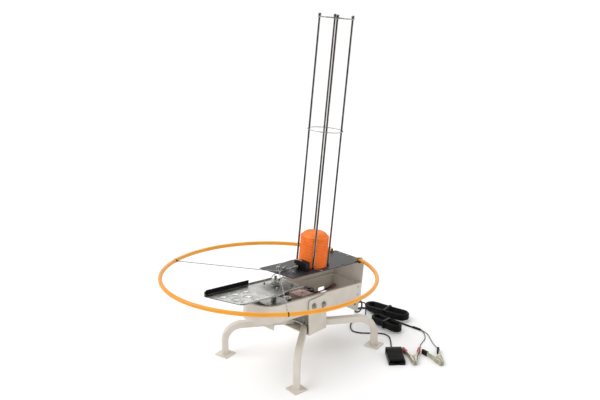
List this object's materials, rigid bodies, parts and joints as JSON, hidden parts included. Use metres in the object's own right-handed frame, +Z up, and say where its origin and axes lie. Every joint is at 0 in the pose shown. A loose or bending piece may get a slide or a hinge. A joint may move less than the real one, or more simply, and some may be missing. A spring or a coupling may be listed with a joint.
{
  "type": "clay target thrower",
  "caption": "Electric clay-target thrower on bent tube legs, with a rod magazine over a swinging arm, a safety ring, a foot switch and battery clips.",
  "frame": {"origin": "on the ground under the middle of the machine's bounding box, without its free cords", "axes": "+Z up, -Y the way the targets are thrown, +X the machine's right side seen from behind"},
  "size_m": [0.8432, 1.097, 1.2799],
  "materials": {
    "cream_paint": "satin powder coat",
    "black_paint": "fine textured powder coat",
    "zinc_steel": "bright zinc plate",
    "chrome_rod": "polished",
    "clay": "matt fluorescent paint on pressed clay",
    "orange_paint": "gloss powder coat",
    "black_rubber": "matt",
    "cable_jacket": "smooth jacket",
    "gearbox_alloy": "cast and machined",
    "red_plastic": "dipped vinyl",
    "black_plastic": "moulded"
  },
  "bodies": {
    "base": {"base_bracket": "cream_paint", "leg_clamp_plate": "zinc_steel", "leg_front_left": "cream_paint", "leg_front_right": "cream_paint", "leg_rear_right": "cream_paint", "leg_rear_left": "cream_paint", "pedal_base": "black_plastic", "battery_cable_tube": "cable_jacket", "battery_cable_hank": "cable_jacket", "battery_lead_tube": "cable_jacket", "red_wire_tube": "cable_jacket", "black_wire_tube": "cable_jacket", "pedal_cord_drop": "cable_jacket", "pedal_cord_hank": "cable_jacket", "pedal_cord_tube": "cable_jacket", "red_clip_fixed_lever": "red_plastic", "black_clip_fixed_lever": "black_plastic"},
    "thrower": {"chassis_tray": "cream_paint", "front_skirt": "cream_paint", "rear_plate": "cream_paint", "deck_plate": "black_paint", "tilt_bolt_left": "zinc_steel", "lock_bolt_left": "zinc_steel", "tilt_bolt_right": "zinc_steel", "lock_bolt_right": "zinc_steel", "feed_solenoid_cover": "black_plastic", "clay_target_bottom": "clay", "clay_target_stack": "clay", "clay_target_top": "clay", "magazine_rod_front_left": "chrome_rod", "magazine_rod_front_right": "chrome_rod", "magazine_rod_rear_right": "chrome_rod", "magazine_rod_rear_left": "chrome_rod", "magazine_hoop_low": "chrome_rod", "magazine_hoop_high": "chrome_rod", "arm_bearing": "zinc_steel", "drive_gearbox": "gearbox_alloy", "drive_motor": "black_paint", "cocking_spring": "zinc_steel", "control_box": "black_plastic", "switch_housing": "black_plastic", "safety_ring": "orange_paint", "ring_clamp_right": "zinc_steel", "ring_clamp_left": "zinc_steel", "stay_post": "zinc_steel", "ring_stay_right": "zinc_steel", "ring_stay_left": "zinc_steel", "cord_gland": "black_plastic"},
    "arm": {"arm_plate": "zinc_steel", "arm_rubber_strip": "black_rubber", "arm_shaft": "zinc_steel", "arm_shaft_nut": "zinc_steel", "arm_gear": "zinc_steel"},
    "motor_pinion": {"motor_pinion": "zinc_steel"},
    "feed": {"feed_slide": "zinc_steel", "feed_push_rod": "zinc_steel"},
    "rocker": {"switch_rocker": "red_plastic"},
    "treadle": {"pedal_treadle": "black_rubber"},
    "red_jaw": {"red_clip_sprung_lever": "red_plastic"},
    "black_jaw": {"black_clip_sprung_lever": "black_plastic"}
  },
  "joints": [
    {"name": "body_tilt", "type": "hinge", "parent": "base", "child": "thrower", "pos_m": [0, 0.13127, 0.22176], "axis": [-1, 0, 0], "range_deg": [0, 12]},
    {"name": "arm_spin", "type": "hinge", "parent": "thrower", "child": "arm", "pos_m": [0, 0.00787, 0.3187], "axis": [0, 0.1305, 0.9914], "continuous": true},
    {"name": "motor_spin", "type": "hinge", "parent": "thrower", "child": "motor_pinion", "pos_m": [0, 0.0709, 0.24585], "axis": [0, 0.1305, 0.9914], "continuous": true},
    {"name": "feed_slide_travel", "type": "slide", "parent": "thrower", "child": "feed", "axis": [0, -0.9914, 0.1305], "range_m": [0, 0.012], "stiffness_N_per_m": 300, "springref_m": -0.03},
    {"name": "power_switch", "type": "hinge", "parent": "thrower", "child": "rocker", "pos_m": [-0.026, 0.4347, 0.25646], "axis": [1, 0, 0], "range_deg": [-16, 0]},
    {"name": "pedal_press", "type": "hinge", "parent": "base", "child": "treadle", "pos_m": [0.33929, 0.31535, 0.0155], "axis": [-0.6884, -0.7254, 0], "range_deg": [0, 5], "stiffness_Nm_per_rad": 1.5, "springref_deg": -8.59},
    {"name": "red_clip_open", "type": "hinge", "parent": "base", "child": "red_jaw", "pos_m": [0.368, 0.3832, 0.01], "axis": [0, 0, -1], "range_deg": [0, 18], "stiffness_Nm_per_rad": 0.3, "springref_deg": -17.19},
    {"name": "black_clip_open", "type": "hinge", "parent": "base", "child": "black_jaw", "pos_m": [0.437, 0.4412, 0.01], "axis": [0, 0, -1], "range_deg": [0, 18], "stiffness_Nm_per_rad": 0.3, "springref_deg": -17.19}
  ],
  "couplings": [
    {"joint": "motor_spin", "follows": "arm_spin", "ratio": -3}
  ]
}
